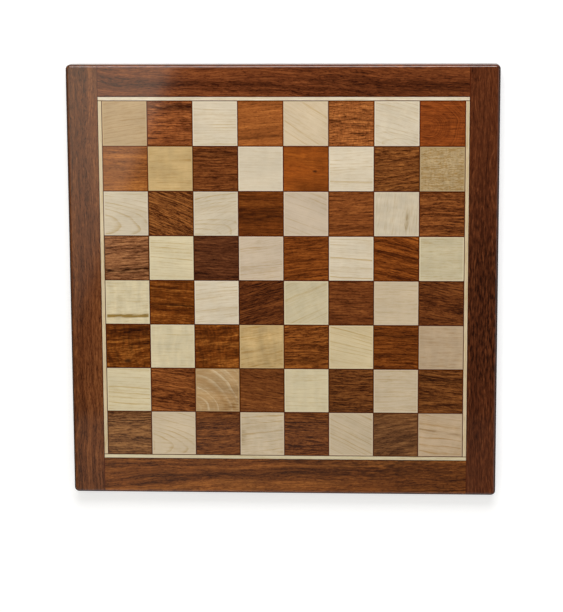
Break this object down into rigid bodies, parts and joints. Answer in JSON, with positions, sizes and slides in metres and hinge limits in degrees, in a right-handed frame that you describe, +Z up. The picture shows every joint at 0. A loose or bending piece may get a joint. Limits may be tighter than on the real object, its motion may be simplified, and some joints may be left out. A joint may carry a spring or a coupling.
{
  "type": "chessboard",
  "caption": "Flat wooden chessboard of eased solid squares with a pale stringing line and a dark rounded frame, on felt pads.",
  "frame": {"origin": "under the middle of the board, on the surface it lies on", "axes": "+Z up out of the playing surface, +Y toward the eighth rank, +X toward the h file"},
  "size_m": [0.477, 0.484, 0.022],
  "materials": {
    "maple": "satin lacquer",
    "dark_square": "satin lacquer",
    "frame_wood": "satin lacquer",
    "plywood": "sanded",
    "beech": "sanded",
    "felt": "felt"
  },
  "bodies": {
    "root": {"squares_a1_c1": "dark_square", "squares_e1_g1": "dark_square", "squares_b1_d1": "maple", "squares_f1_h1": "maple", "squares_b2_d2": "dark_square", "squares_f2_h2": "dark_square", "squares_a2_c2": "maple", "squares_e2_g2": "maple", "squares_a3_c3": "dark_square", "squares_e3_g3": "dark_square", "squares_b3_d3": "maple", "squares_f3_h3": "maple", "squares_b4_d4": "dark_square", "squares_f4_h4": "dark_square", "squares_a4_c4": "maple", "squares_e4_g4": "maple", "squares_a5_c5": "dark_square", "squares_e5_g5": "dark_square", "squares_b5_d5": "maple", "squares_f5_h5": "maple", "squares_b6_d6": "dark_square", "squares_f6_h6": "dark_square", "squares_a6_c6": "maple", "squares_e6_g6": "maple", "squares_a7_c7": "dark_square", "squares_e7_g7": "dark_square", "squares_b7_d7": "maple", "squares_f7_h7": "maple", "squares_b8_d8": "dark_square", "squares_f8_h8": "dark_square", "squares_a8_c8": "maple", "squares_e8_g8": "maple", "stringing_top": "maple", "stringing_bottom": "maple", "stringing_left": "maple", "stringing_right": "maple", "core_panel": "plywood", "back_panel": "plywood", "stile_left": "frame_wood", "stile_right": "frame_wood", "rail_top": "frame_wood", "rail_bottom": "frame_wood", "tongue_left": "plywood", "tongue_right": "plywood", "tongue_top": "plywood", "tongue_bottom": "plywood", "dowels_top_left": "beech", "dowels_top_right": "beech", "dowels_bottom_left": "beech", "dowels_bottom_right": "beech", "foot_pad_front_left": "felt", "foot_pad_front_right": "felt", "foot_pad_back_left": "felt", "foot_pad_back_right": "felt"}
  },
  "joints": []
}
